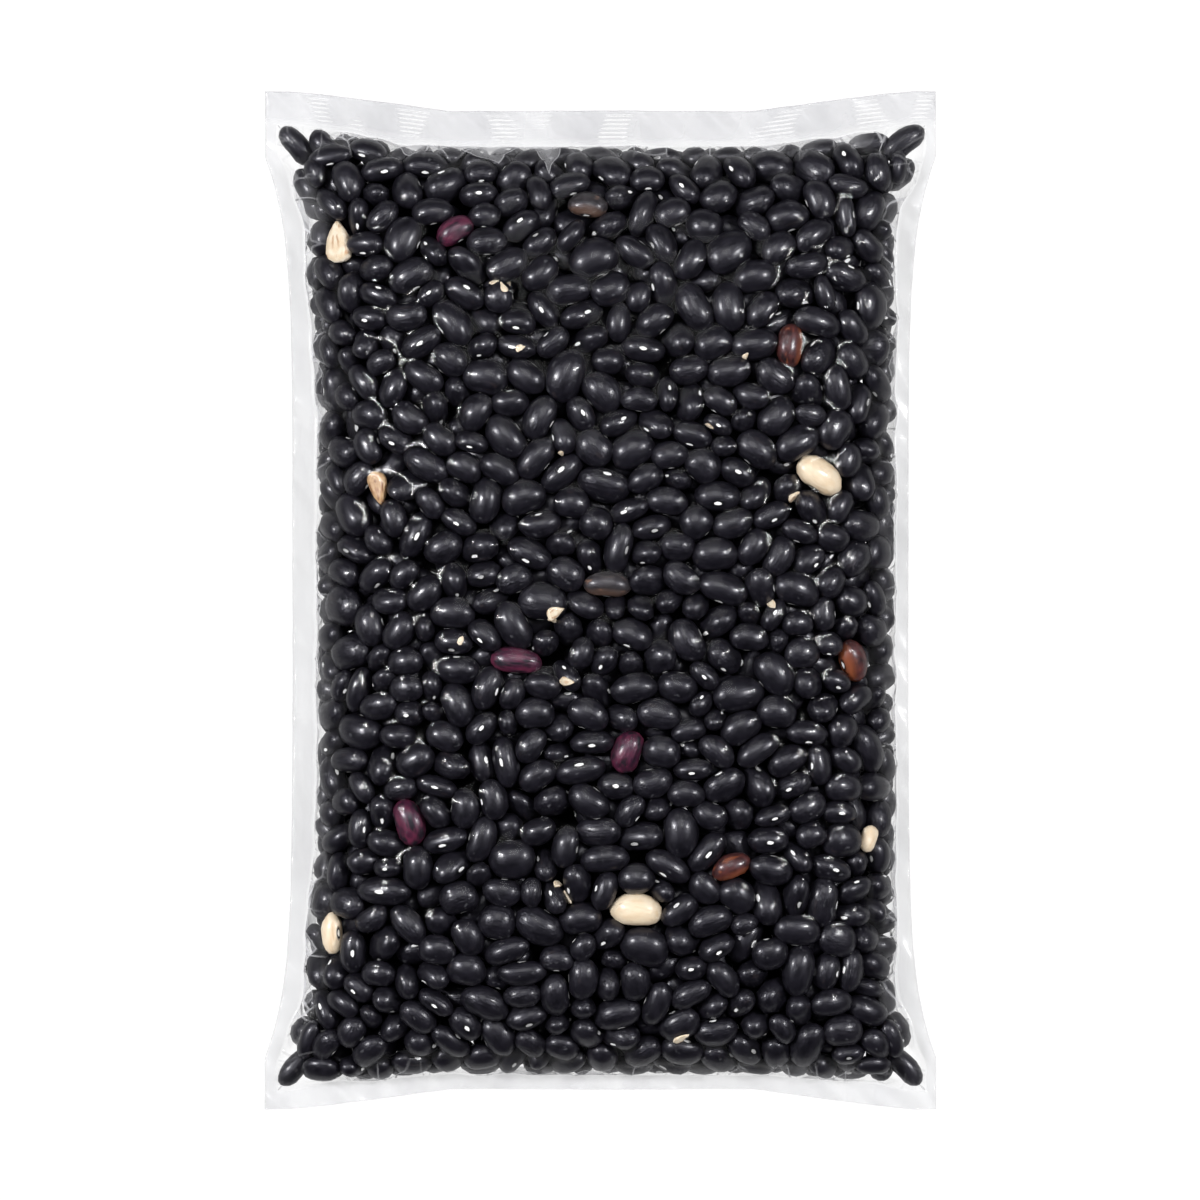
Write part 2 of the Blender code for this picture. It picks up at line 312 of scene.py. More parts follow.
def pinned_beans():
    """The odd beans, flat under the top film at their places in the photo."""
    places, turns, halves = [], [], []
    for _, across, along, degrees, length, width in ODD_BEANS:
        half = np.array([length / 2000, width / 2000, BEAN_HALF[2] * width / 7.0])
        s, t = place_of(np.array(across / 1000), np.array(along / 1000))
        spot = skin_point(s, t, True)
        _, inward = skin_depth(spot - [0, 0, 0.001])
        if max(abs(s), abs(t)) > CORNER_BEAN[0] or min(abs(s), abs(t)) > CORNER_BEAN[1]:
            inward = np.array([0.0, 0.0, -1.0])
            spot = spot * [1, 1, 0] + [0, 0, SEAM_HEIGHT + half[2]]
        flat_x = np.cross([0, 1, 0], -inward)
        flat_x /= np.linalg.norm(flat_x)
        upright = Matrix(np.stack([flat_x, np.cross(-inward, flat_x), -inward], 1).tolist())
        turn = upright @ Matrix.Rotation(math.radians(degrees), 3, "Z")
        places.append(spot + inward * half[2] * 1.02)
        turns.append(np.array(turn))
        halves.append(half)
    return np.array(places), np.array(turns), np.array(halves)


# %% Rounds of pushing apart
TOUCH_REACH = 2.15 * BEAN_HALF[0] + 0.0012  # beans further apart than this aren't tested
PAIR_ROUNDS = 8  # rounds between two searches for near pairs
LEVER_SHARE = 0.75  # of the half length, the arm on which a push turns a bean
MEND = 0.55  # share of an overlap that one round mends
PULL_FADE = 1.3  # the pull fades to nothing after 1 / 1.3 of the rounds
REPORT_ROUNDS = 40  # rounds between two printed lines


def near_pairs(places, reach):
    """Pairs of beans close enough to touch."""
    order = np.argsort(places[:, 1])
    sorted_places = places[order]
    last = np.searchsorted(sorted_places[:, 1], sorted_places[:, 1] + reach)
    first, second = [], []
    for index in range(len(order)):
        gap = sorted_places[index + 1:last[index]] - sorted_places[index]
        close = np.flatnonzero((gap * gap).sum(1) < reach * reach) + index + 1
        first.append(np.full(len(close), index))
        second.append(close)
    return order[np.concatenate(first)], order[np.concatenate(second)]


def contacts(centres, radii, first, second):
    """For each near pair, the two balls that overlap most: their indices, depth and direction."""
    gap = centres[first][:, :, None] - centres[second][:, None, :]
    distance = np.sqrt((gap * gap).sum(-1)) + 1e-9
    overlap = radii[first][:, :, None] + radii[second][:, None, :] - distance
    flat = overlap.reshape(len(first), -1)
    deepest = flat.argmax(1)
    depth = flat[np.arange(len(first)), deepest]
    touching = np.flatnonzero(depth > 0)
    one, two = np.divmod(deepest[touching], BALL_COUNT)
    direction = gap[touching, one, two] / distance[touching, one, two, None]
    return touching, one, two, depth[touching], direction


def turned(turns, angles):
    """Turns rotation matrices by small angle vectors, and keeps them square."""
    spin = np.zeros((len(angles), 3, 3))
    spin[:, 0, 1], spin[:, 0, 2], spin[:, 1, 2] = -angles[:, 2], angles[:, 1], -angles[:, 0]
    spin -= spin.transpose(0, 2, 1)
    turns = turns + spin @ turns
    x = turns[:, :, 0] / np.linalg.norm(turns[:, :, 0], axis=1)[:, None]
    y = turns[:, :, 1] - (turns[:, :, 1] * x).sum(1)[:, None] * x
    y /= np.linalg.norm(y, axis=1)[:, None]
    return np.stack([x, y, np.cross(x, y)], -1)


def pack(places, turns, halves, pinned, rounds, pull):
    """Pushes beans apart and against the skin until they lie packed."""
    inner = halves[:, :2] - halves[:, 2:]
    ring = np.stack([np.cos(BALL_ANGLES), np.sin(BALL_ANGLES)], -1)
    balls = np.zeros((len(places), BALL_COUNT, 3))
    balls[:, :, :2] = ring * inner[:, None, :]
    radii = halves[:, 2:] * BALL_SIZES
    freedom = np.where(pinned, 0.0, 1.0)
    lever = (halves[:, 0] * LEVER_SHARE) ** 2
    for number in range(rounds):
        if number % PAIR_ROUNDS == 0:
            first, second = near_pairs(places, TOUCH_REACH)
            share = freedom[first] / (freedom[first] + freedom[second] + 1e-9)
        arms = np.einsum("nij,nkj->nki", turns, balls)
        centres = places[:, None] + arms
        touching, one, two, depth, direction = contacts(centres, radii, first, second)
        a, b = first[touching], second[touching]
        push_a = direction * (depth * share[touching])[:, None]
        push_b = -direction * (depth * (1 - share[touching]) * freedom[b])[:, None]
        move = np.zeros_like(places)
        spin = np.zeros_like(places)
        np.add.at(move, a, push_a)
        np.add.at(move, b, push_b)
        np.add.at(spin, a, np.cross(arms[a, one], push_a) / lever[a, None])
        np.add.at(spin, b, np.cross(arms[b, two], push_b) / lever[b, None])
        inside, inward = skin_depth(centres)
        out = radii - inside
        worst = out.argmax(1)
        every = np.arange(len(places))
        back = np.maximum(out[every, worst], 0)[:, None] * inward[every, worst]
        move += back
        spin += np.cross(arms[every, worst], back) / lever[:, None]
        easing = pull * max(0.0, 1.0 - PULL_FADE * number / rounds)
        move = MEND * move - easing * inward[every, worst]
        places = places + move * freedom[:, None]
        turns = turned(turns, MEND * spin * freedom[:, None])
        if number % REPORT_ROUNDS == 0 or number == rounds - 1:
            print("round", number, "contacts", len(depth), "mean overlap",
                  round(1000 * depth.mean(), 3), "mm")
    return places, turns


# %% Pack them
PACK_ROUNDS = 200
PULL = 0.00016  # how far the first round pulls a bean out against the film
ODD_ROOM = 0.0045  # loose beans start this far from a placed one
SIZE_LIMITS = (-0.24, 0.20)  # of the logarithm of a bean's size
MOST_THICK = 0.94  # a bean is no thicker than this share of its width
LEAST_DEPTH = 0.6  # of its half thickness, less than which a bean is squeezed out
odd_places, odd_turns, odd_halves = pinned_beans()
loose_places = start_beans()
to_odd = np.linalg.norm(loose_places[:, None] - odd_places[None], axis=2).min(1)
loose_places = loose_places[to_odd > ODD_ROOM]
count = len(loose_places)
loose_halves = BEAN_HALF * np.exp(rng.normal(size=(count, 3)) * BEAN_SPREAD)
loose_halves *= np.exp(np.clip(rng.normal(size=(count, 1)) * SIZE_SPREAD, *SIZE_LIMITS))
places = np.concatenate([odd_places, loose_places])
turns = np.concatenate([odd_turns, lying_turns(loose_places)])
halves = np.concatenate([odd_halves, loose_halves])
halves[:, 2] = np.minimum(halves[:, 2], halves[:, 1] * MOST_THICK)
pinned = np.arange(len(places)) < len(ODD_BEANS)
kinds = np.array([row[0] for row in ODD_BEANS] + ["black"] * count)
print(len(places), "beans")
places, turns = pack(places, turns, halves, pinned, PACK_ROUNDS, PULL)
bean_depth, _ = skin_depth(places)
fits = (bean_depth > LEAST_DEPTH * halves[:, 2]) | pinned
places, turns, halves, kinds = places[fits], turns[fits], halves[fits], kinds[fits]
bean_depth = bean_depth[fits]
print(int((~fits).sum()), "beans that were squeezed out are left away")
print("depths of the beans", np.percentile(bean_depth * 1000, [0, 25, 50, 75, 100]).round(1), "mm")

# %% [markdown]
# ## Finishes
#
# A shader node tree is built from short lines. One helper adds any node with its settings and its
# links, also to the Geometry Nodes tree further down. Another turns a colour, given as a hex value,
# into the linear numbers that the renderer works with.

# %% Helpers for nodes, colours and objects
def add_node(tree, kind, sockets=(), **settings):
    """A new node. sockets gives its inputs in their order, or as a dict by name or number.

    Each is a value, or the output that feeds it, or a node, which feeds it by its first output.
    """
    node = tree.nodes.new(kind)
    for name, value in settings.items():
        setattr(node, name, value)
    for socket, given in sockets.items() if isinstance(sockets, dict) else enumerate(sockets):
        source = given.outputs[0] if isinstance(given, bpy.types.Node) else given
        if isinstance(source, bpy.types.NodeSocket):
            tree.links.new(source, node.inputs[socket])
        else:
            node.inputs[socket].default_value = source
    return node


def hex_colour(text):
    """The linear colour of an sRGB hex value."""
    parts = [int(text[index:index + 2], 16) / 255 for index in (1, 3, 5)]
    linear = [part / 12.92 if part <= 0.04045 else ((part + 0.055) / 1.055) ** 2.4 for part in parts]
    return (*linear, 1.0)


def new_material(name):
    """A material with an empty node tree."""
    material = bpy.data.materials.new(name)
    material.use_nodes = True
    material.node_tree.nodes.clear()
    return material, material.node_tree


def add_object(name, data):
    """An object at the origin, in the scene."""
    added = bpy.data.objects.new(name, data)
    bpy.context.scene.collection.objects.link(added)
    return added


# %% [markdown]
# ## Seed coat
#
# A bean's coat is a hard waxy skin: nearly black, satin with a thin gloss on top, and faintly
# wrinkled. The hilum, the scar where it hung in the pod, is a white oval with a dark rim on the
# hollow side. Each bean carries its own coordinates, from -1 to 1 along each axis, and a random
# number, so that one material gives every bean its scar in the right place and its own shade.

# %% Seed coat material
HILUM_HALF = (0.165, 0.130)  # as shares of the bean's half length and half thickness
COAT_NOISES = (  # scale, detail and stretch, over a bean of half sizes 1
    (2.2, 3.0, (1.0, 1.0, 1.0)),  # mottling, a few millimetres across
    (1.3, 4.0, (0.7, 1.8, 1.8)),  # streaks that run with the bean
    (2.9, 4.0, (1.0, 1.0, 1.0)),  # scuffs
    (9.0, 2.0, (1.0, 1.0, 1.0)),  # the ragged edge of the hilum
    (3.2, 4.0, (0.8, 2.0, 2.0)),  # fine wrinkles of the dried coat
)


def seed_coat(name, dark, light, streak, streaks, edge=0.0, hilum="#FFFFFF"):
    """Waxy coat with a pale hilum. streaks and edge say how much of the streak colour shows."""
    material, tree = new_material(name)
    spot = add_node(tree, "ShaderNodeAttribute", attribute_name="bean_place").outputs["Vector"]
    shade = add_node(tree, "ShaderNodeAttribute", attribute_name="bean_shade").outputs["Fac"]
    lot = add_node(tree, "ShaderNodeTexWhiteNoise", {"W": shade}, noise_dimensions="1D")
    along, across, up = add_node(tree, "ShaderNodeSeparateXYZ", [spot]).outputs
    noises = []
    for scale, detail, stretch in COAT_NOISES:
        stretched = add_node(tree, "ShaderNodeVectorMath", [spot, stretch], operation="MULTIPLY")
        noises.append(add_node(tree, "ShaderNodeTexNoise", {
            "Vector": stretched, "W": shade, "Scale": scale, "Detail": detail}, noise_dimensions="4D"))
    mottle, grain, scuffs, rags, wrinkles = noises
    # the dark and light of the coat, and what is laid over them by a share from 0 to 1
    light_share = add_node(tree, "ShaderNodeMapRange", [mottle, 0.3, 0.7])
    layers = [(light, light_share)]
    streaky = [grain, 0.64 - 0.2 * streaks, 0.70 - 0.1 * streaks, 0.0, min(1.0, 0.3 + streaks)]
    layers.append((streak, add_node(tree, "ShaderNodeMapRange", streaky)))
    if edge:
        lean = add_node(tree, "ShaderNodeMath", [grain, -0.6], operation="MULTIPLY")
        belly = add_node(tree, "ShaderNodeMath", [across, lean], operation="ADD")
        layers.append((streak, add_node(tree, "ShaderNodeMapRange", [belly, -0.55, -1.05, 0.0, edge])))
    # grey scuffs, where beans have rubbed
    scuffed = add_node(tree, "ShaderNodeMapRange", [scuffs, 0.645, 0.71, 0.0, 0.32])
    layers.append(("#6C6D72", scuffed))
    # the hilum, dull on one bean in four, with a dark rim
    flat = add_node(tree, "ShaderNodeCombineXYZ", [
        add_node(tree, "ShaderNodeMath", [axis, half], operation="DIVIDE")
        for axis, half in zip((along, up), HILUM_HALF)])
    away = add_node(tree, "ShaderNodeVectorMath", [flat], operation="LENGTH").outputs["Value"]
    wander = add_node(tree, "ShaderNodeMapRange", [rags, 0.3, 0.7, -0.15, 0.15])
    ragged = add_node(tree, "ShaderNodeMath", [away, wander], operation="ADD")
    hollow_side = add_node(tree, "ShaderNodeMath", [across, -0.5], operation="LESS_THAN")
    strength = add_node(tree, "ShaderNodeMapRange", [lot, 0.10, 0.25, 0.35, 1.0])
    bright = add_node(tree, "ShaderNodeMath", [hollow_side, strength], operation="MULTIPLY")
    for colour, where, distance, ends in (("#060608", hollow_side, away, (2.3, 1.4)),
                                          (hilum, bright, ragged, (1.05, 0.90))):
        ring = add_node(tree, "ShaderNodeMapRange", [distance, *ends])
        layers.append((colour, add_node(tree, "ShaderNodeMath", [ring, where], operation="MULTIPLY")))
    coat = hex_colour(dark)
    for colour, share in layers:
        coat = add_node(tree, "ShaderNodeMix", {0: share, 6: coat, 7: hex_colour(colour)},
                        data_type="RGBA").outputs[2]
    # the wrinkles are deeper on some beans than on others
    deep = add_node(tree, "ShaderNodeMapRange", [lot, 0.50, 1.0, 0.18, 0.70])
    bump = add_node(tree, "ShaderNodeBump", {"Height": wrinkles, "Strength": deep, "Distance": 0.0005})
    rubbed = add_node(tree, "ShaderNodeMapRange", [mottle, 0.3, 0.7, 0.38, 0.50])
    rough = add_node(tree, "ShaderNodeMath", [rubbed, scuffed], operation="ADD")
    shader = add_node(tree, "ShaderNodeBsdfPrincipled", {
        "Base Color": coat, "Roughness": rough, "Normal": bump, "IOR": 1.5, "Coat Weight": 0.45,
        "Coat Roughness": 0.22, "Specular Tint": hex_colour("#F0EFFF")})
    add_node(tree, "ShaderNodeOutputMaterial", [shader])
    return material


coats = {
    "black": seed_coat("black bean seed coat", "#0B0A10", "#19171F", "#3A3132", 0.0),
    "cream": seed_coat("cream bean seed coat", "#EBD3B2", "#F6E6CD", "#DDBE95", 0.3, 0.0, "#FBF6EA"),
    "wine": seed_coat("wine bean seed coat", "#32142A", "#66263F", "#1B141D", 0.85),
    "russet": seed_coat("russet bean seed coat", "#1E1416", "#5C2E2B", "#93502F", 0.30, 0.7),
    "tan": seed_coat("faded bean seed coat", "#1B181A", "#3E3A3C", "#8E6A55", 0.22, 0.30),
    "husk": seed_coat("dry husk", "#A1724A", "#D9BB91", "#6E4124", 0.45, 0.0, "#E0C8A2"),
    "wedge": seed_coat("split bean flesh", "#E6CFAE", "#F8EEDB", "#B9824E", 0.40, 0.0, "#FBF6EA"),
}
print(len(coats), "seed coats")

# %% [markdown]
# ## One bean, placed many times
#
# The bean starts as a ball whose poles are its ends, so that the mesh lines run with its length.
# The ball is written out point by point, because the ready-made sphere gives its points in another
# order on each run. It is bent a little towards the side with the hilum and dented there. Geometry
# Nodes puts a copy at each packed point, turned and sized by the numbers that the point carries,
# and then swells and dents each copy by its own noise, so that no two are alike.

# %% The form of a bean
BLUNT, BEND, DENT, DENT_HALF = 0.045, 0.07, 0.07, 0.40  # shares of the half length or width


def bean_form(name, segments, rings, split=False):
    """A bean of half sizes 1, 1 and 1, with its coordinates kept as an attribute.

    A split one is a wedge with a flat cut face, and has no hollow side and no hilum.
    """
    tilt = np.repeat(np.arange(1, rings) * math.pi / rings, segments)
    turn = np.tile(np.arange(segments) * 2 * math.pi / segments, rings - 1)
    round_points = np.stack([np.cos(tilt), np.sin(tilt) * np.cos(turn), np.sin(tilt) * np.sin(turn)], -1)
    x, y, z = np.concatenate([[(1, 0, 0)], round_points, [(-1, 0, 0)]]).T
    index = 1 + np.arange(len(tilt)).reshape(rings - 1, segments)
    after = np.roll(index, -1, axis=1)
    faces = [(0, one, two) for one, two in zip(index[0], after[0])]
    faces += [tuple(quad) for quad in
              np.stack([index[:-1], index[1:], after[1:], after[:-1]], -1).reshape(-1, 4)]
    faces += [(len(x) - 1, two, one) for one, two in zip(index[-1], after[-1])]
    own = np.stack([x, np.abs(y) if split else y, z], -1)
    blunt = 1.0 + BLUNT * x * x * (1.0 - x * x) * 4
    dent = DENT * np.exp(-((x / DENT_HALF) ** 2)) * np.clip(-y, 0, 1) ** 2
    y = y * blunt - BEND * (x * x - 0.35) + dent
    z = z * blunt
    if split:
        y = y * (1.0 - 0.55 * x) + 0.10 * x
        z = np.minimum(z, 0.45 + 0.15 * x) * (1.0 - 0.3 * x)
    data = bpy.data.meshes.new(name)
    data.from_pydata(np.stack([x, y, z], -1).tolist(), [], faces)
    data.attributes.new("bean_place", "FLOAT_VECTOR", "POINT").data.foreach_set("vector", own.ravel())
    return add_object(name, data)


# %% The tree that places beans
def placing_tree():
    """Instances of a form on points that carry bean_turn, bean_size and bean_shade."""
    tree = bpy.data.node_groups.new("place beans", "GeometryNodeTree")
    for name, kind in (("Points", "Geometry"), ("Form", "Object"), ("Coat", "Material"),
                       ("Unevenness", "Float")):
        tree.interface.new_socket(name, in_out="INPUT", socket_type=f"NodeSocket{kind}")
    tree.interface.new_socket("Beans", in_out="OUTPUT", socket_type="NodeSocketGeometry")
    given = add_node(tree, "NodeGroupInput").outputs
    turn, size, spot, shade = [
        add_node(tree, "GeometryNodeInputNamedAttribute", {"Name": name}, data_type=kind)
        for name, kind in (("bean_turn", "FLOAT_VECTOR"), ("bean_size", "FLOAT_VECTOR"),
                           ("bean_place", "FLOAT_VECTOR"), ("bean_shade", "FLOAT"))]
    form = add_node(tree, "GeometryNodeObjectInfo", {"Object": given["Form"]}).outputs["Geometry"]
    rotation = add_node(tree, "FunctionNodeEulerToRotation", [turn])
    copies = add_node(tree, "GeometryNodeInstanceOnPoints", {
        "Points": given["Points"], "Instance": form, "Rotation": rotation, "Scale": size})
    real = add_node(tree, "GeometryNodeRealizeInstances", [copies])
    dents = add_node(tree, "ShaderNodeTexNoise", {
        "Vector": spot, "W": shade, "Scale": 1.1, "Detail": 2.0}, noise_dimensions="4D")
    centred = add_node(tree, "ShaderNodeMath", [dents, 0.5], operation="SUBTRACT")
    amount = add_node(tree, "ShaderNodeMath", [centred, given["Unevenness"]], operation="MULTIPLY")
    normal = add_node(tree, "GeometryNodeInputNormal")
    offset = add_node(tree, "ShaderNodeVectorMath", {0: normal, "Scale": amount}, operation="SCALE")
    uneven = add_node(tree, "GeometryNodeSetPosition", {"Geometry": real, "Offset": offset})
    smooth = add_node(tree, "GeometryNodeSetShadeSmooth", {"Geometry": uneven})
    coated = add_node(tree, "GeometryNodeSetMaterial", {"Geometry": smooth, "Material": given["Coat"]})
    add_node(tree, "NodeGroupOutput", [coated])
    return tree


# %% From points to a plain mesh
UNEVENNESS = 0.0012  # metres, the range over which noise swells and dents a bean


def place_beans(name, tree, form, coat, chosen):
    """A plain mesh of the chosen beans."""
    points = bpy.data.meshes.new(name)
    points.from_pydata(places[chosen].tolist(), [], [])
    angles = np.array([Matrix(turn).to_euler() for turn in turns[chosen]])
    for label, kind, field, values in (
        ("bean_turn", "FLOAT_VECTOR", "vector", angles),
        ("bean_size", "FLOAT_VECTOR", "vector", halves[chosen]),
        ("bean_shade", "FLOAT", "value", shades[chosen]),
    ):
        points.attributes.new(label, kind, "POINT").data.foreach_set(field, values.ravel())
    holder = add_object(name, points)
    nodes = holder.modifiers.new("place beans", "NODES")
    nodes.node_group = tree
    sockets = {item.name: item.identifier for item in tree.interface.items_tree
               if item.in_out == "INPUT"}
    for socket, value in (("Form", form), ("Coat", coat), ("Unevenness", UNEVENNESS)):
        nodes[sockets[socket]] = value
    evaluated = holder.evaluated_get(bpy.context.evaluated_depsgraph_get())
    plain = bpy.data.meshes.new_from_object(evaluated)
    holder.modifiers.clear()
    corners = np.array([vert.co for vert in plain.vertices])
    corners[:, 2] = np.maximum(corners[:, 2], TABLE_GAP / 2)
    plain.vertices.foreach_set("co", corners.ravel())
    holder.data = plain
    plain.name = name
    print(name, int(chosen.sum()), "beans", sum(len(face.vertices) - 2 for face in plain.polygons),
          "triangles")
    return holder


# %% Place them
FINE_STEPS, PLAIN_STEPS = (12, 9), (8, 7)  # segments and rings of a bean that shows or lies deep
OUTER_LAYER = 0.0052  # beans whose middle is nearer to the skin than this show
FRONT_DROP = 0.003  # below the seam, down to which beans count as the front
shades = rng.uniform(0.0, 40.0, len(places))
fine_form = bean_form("fine bean", *FINE_STEPS)
plain_form = bean_form("plain bean", *PLAIN_STEPS)
split_form = bean_form("split bean", *FINE_STEPS, split=True)
tree = placing_tree()
black = kinds == "black"
front = black & (bean_depth < OUTER_LAYER) & (places[:, 2] > SEAM_HEIGHT - FRONT_DROP)
back = black & (bean_depth < OUTER_LAYER) & ~front
deep = black & ~front & ~back
pieces = []
for name, form, coat, chosen in (
    ("black_beans_front", fine_form, "black", front),
    ("black_beans_back", fine_form, "black", back),
    ("black_beans_deep", plain_form, "black", deep),
    ("cream_beans", fine_form, "cream", kinds == "cream"),
    ("wine_beans", fine_form, "wine", kinds == "wine"),
    ("russet_beans", fine_form, "russet", kinds == "russet"),
    ("tan_beans", fine_form, "tan", kinds == "tan"),
    ("split_beans", split_form, "wedge", kinds == "wedge"),
    ("husks", split_form, "husk", kinds == "husk"),
):
    pieces.append(place_beans(name, tree, form, coats[coat], chosen))


# %% Crumbs lie on top
CRUMB_THICK, CRUMB_SHARE = 1.4, 0.6  # at most this many mm, and this share of the width
CRUMB_RISE = 0.4  # share of its half thickness by which a crumb's middle stands on a bean
ABOVE_BAG = 0.06  # rays that look for the beans start at this height


def skin_tree():
    """All the beans so far, ready for rays."""
    corners, faces = [], []
    for piece in pieces:
        start = len(corners)
        corners.extend(vert.co.copy() for vert in piece.data.vertices)
        faces.extend([start + index for index in face.vertices] for face in piece.data.polygons)
    return BVHTree.FromPolygons(corners, faces), np.array(corners)


beans_below, _ = skin_tree()
crumb_places, crumb_turns, crumb_halves = [], [], []
for across, along, degrees, length, width in CRUMBS:
    start = Vector((across / 1000, along / 1000, ABOVE_BAG))
    spot, normal, _, _ = beans_below.ray_cast(start, Vector((0, 0, -1)))
    half = np.array([length, width, min(CRUMB_THICK, CRUMB_SHARE * width)]) / 2000
    upright = normal.to_track_quat("Z", "Y").to_matrix()
    level = math.atan2(upright[1][0], upright[0][0])
    spin = Matrix.Rotation(math.radians(degrees) - level, 3, "Z")
    crumb_places.append(np.array(spot + normal * half[2] * CRUMB_RISE))
    crumb_turns.append(np.array(upright @ spin))
    crumb_halves.append(half)
first_crumb = len(places)
places = np.concatenate([places, crumb_places])
turns = np.concatenate([turns, crumb_turns])
halves = np.concatenate([halves, crumb_halves])
shades = np.concatenate([shades, rng.uniform(0, 40, len(CRUMBS))])
chosen = np.arange(len(places)) >= first_crumb
pieces.append(place_beans("bean_crumbs", tree, split_form, coats["wedge"], chosen))
for form in (fine_form, plain_form, split_form):
    bpy.data.objects.remove(form)

# %% [markdown]
# ## The film
#
# Film under tension is a membrane: it touches the beans that stand out most and spans the gaps
# between them as flat as it can. The sheet starts as the bag's smooth skin. From each of its
# points a ray looks inwards for the nearest bean. The sheet is then let in towards the beans, in
# rounds that average each point with its neighbours, and a bean's surface stops it. Outside the
# chamber the two sheets are welded into a flat margin, and the top one has a ribbed seal.

# %% Sizes of the film
CHAMBER_STEPS = (152, 238)
MARGIN_STEPS = (6, 18)
SECTION_HALF = (0.070, 0.111)  # half sizes that spread the grid lines over the section
WELD = 0.00012  # thickness of the welded margin
CLEARANCE = 0.00012  # between the film and a bean
START_OUT = 0.003  # rays start this far outside the smooth skin
MOST_OUT = 0.0022  # the furthest that a bean pushes the film out
CORNER_ROOM = (0.0018, 0.0012)  # how much wider the film's chamber is at its corners
REACH = 0.0045  # the furthest that the film is let in
PULL_IN = 0.00004  # how much further each round lets the film in
FILM_ROUNDS = 140
PLEAT_HEIGHT, PLEAT_START, PLEAT_FADE = 0.0008, 0.0020, 0.0080
MARGIN_WAVE = 0.0005
SIDE_APART = 0.6  # between left, right, bottom and top on the flat map of the flanks
RIB_PITCH, RIB_HEIGHT, RIB_COUNT = 0.0010, 0.00005, 6
RIB_FROM_EDGE = 0.0012
WELD_HAZE = 0.24  # share of milk in the welded margin
SEAL_HAZE, END_HAZE = 0.16, 0.02  # what the top and the bottom margin have on top of that
SEAL_FADE = (0.0, 0.30)  # shares of the margin's width between which that haze grows
EDGE_HAZE, EDGE_FADE = 0.14, 0.0012  # milk on the film just inside the weld


# %% The outline of the placed beans
EDGE_BIN = 0.001  # the outline is read once a millimetre
EDGE_ROOM = 0.0003  # and the weld stands this far off it
EDGE_SPAN = (0.078, 0.118)  # half lengths across and along over which it is read
beans_below, bean_points = skin_tree()


def bean_edge(axis, side):
    """How far out the beans reach on one side, for each millimetre along it, smoothed."""
    low, high = -EDGE_SPAN[1 - axis], EDGE_SPAN[1 - axis]
    bins = np.arange(low, high, EDGE_BIN)
    along = bean_points[:, 1 - axis]
    out = side * bean_points[:, axis]
    reach = np.full(len(bins), -1.0)
    spot = np.clip(((along - low) / EDGE_BIN).astype(int), 0, len(bins) - 1)
    np.maximum.at(reach, spot, out)
    wide = np.max([np.roll(reach, shift) for shift in (-2, -1, 0, 1, 2)], axis=0)
    filled = np.interp(bins, bins[wide > 0], wide[wide > 0])
    padded = np.pad(filled, 3, mode="edge")
    return bins, np.convolve(padded, np.array([1, 2, 3, 4, 3, 2, 1]) / 16, "valid") + EDGE_ROOM


side_edges, end_edges = [[bean_edge(axis, side) for side in (-1, 1)] for axis in (0, 1)]
for name, (_, edge) in zip(("left", "right", "bottom", "top"), side_edges + end_edges):
    print("beans reach", name, np.round(np.percentile(edge, [0, 50, 100]) * 1000, 1), "mm")


# %% Noise along a line
def line_noise(values, wavelengths, seed):
    """A sum of sines with random phases, between about -1 and 1."""
    local = np.random.default_rng(seed)
    total = np.zeros_like(values)
    for wavelength in wavelengths:
        phase = local.uniform(0, 2 * math.pi)
        total += np.sin(2 * math.pi * values / wavelength + phase) / len(wavelengths) ** 0.5
    return total


# %% The sheet's grid
def grid_lines(steps, margin, half_size, roundness):
    """(place in the chamber, share of the margin) of each grid line, from edge to edge.

    The lines lie evenly along the section's curve, so that the steep flank gets its share.
    """
    from_edge = np.linspace(0, 1, 4000) ** 3
    rise = (1 - (1 - from_edge) ** roundness) ** EDGE_POWER * (CROWN_HEIGHT - SEAM_HEIGHT)
    lengths = np.hypot(np.diff(from_edge * half_size), np.diff(rise))
    length = np.concatenate([[0], np.cumsum(lengths)])
    half = 1 - np.interp(np.linspace(0, length[-1], steps // 2 + 1), length, from_edge)
    inner = np.concatenate([-half, half[-2::-1]])
    outer = np.linspace(1, 0, margin, endpoint=False)
    places = np.concatenate([-np.ones(margin), inner, np.ones(margin)])
    shares = np.concatenate([outer, np.zeros(steps + 1), outer[::-1]])
    return places, shares


OFF_CORNER = (0.003, 0.012)  # distances from a corner between which the weld turns to the beans
CORNER_SHARE = (0.86, 0.97)  # values of s times t between which the corners widen


def film_plan(s, t, out_x, out_y):
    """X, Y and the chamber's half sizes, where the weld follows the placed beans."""
    half_x, film_x = half_widths(s, t)
    half_y, film_y = half_lengths(s, t)
    y = t * half_y
    x = s * half_x
    near_x = np.where(s < 0, np.interp(y, *side_edges[0]), np.interp(y, *side_edges[1]))
    near_y = np.where(t < 0, np.interp(x, *end_edges[0]), np.interp(x, *end_edges[1]))
    off_end = ease((1 - np.abs(t)) * half_y, *OFF_CORNER)
    off_side = ease((1 - np.abs(s)) * half_x, *OFF_CORNER)
    corner = ease(np.abs(s) * np.abs(t), *CORNER_SHARE)
    half_x = half_x + off_end * (near_x - half_x) + CORNER_ROOM[0] * corner
    half_y = half_y + off_side * (near_y - half_y) + CORNER_ROOM[1] * corner
    x = s * half_x + np.sign(s) * out_x * (film_x - half_x)
    y = t * half_y + np.sign(t) * out_y * (film_y - half_y)
    return x, y, half_x, half_y, film_y


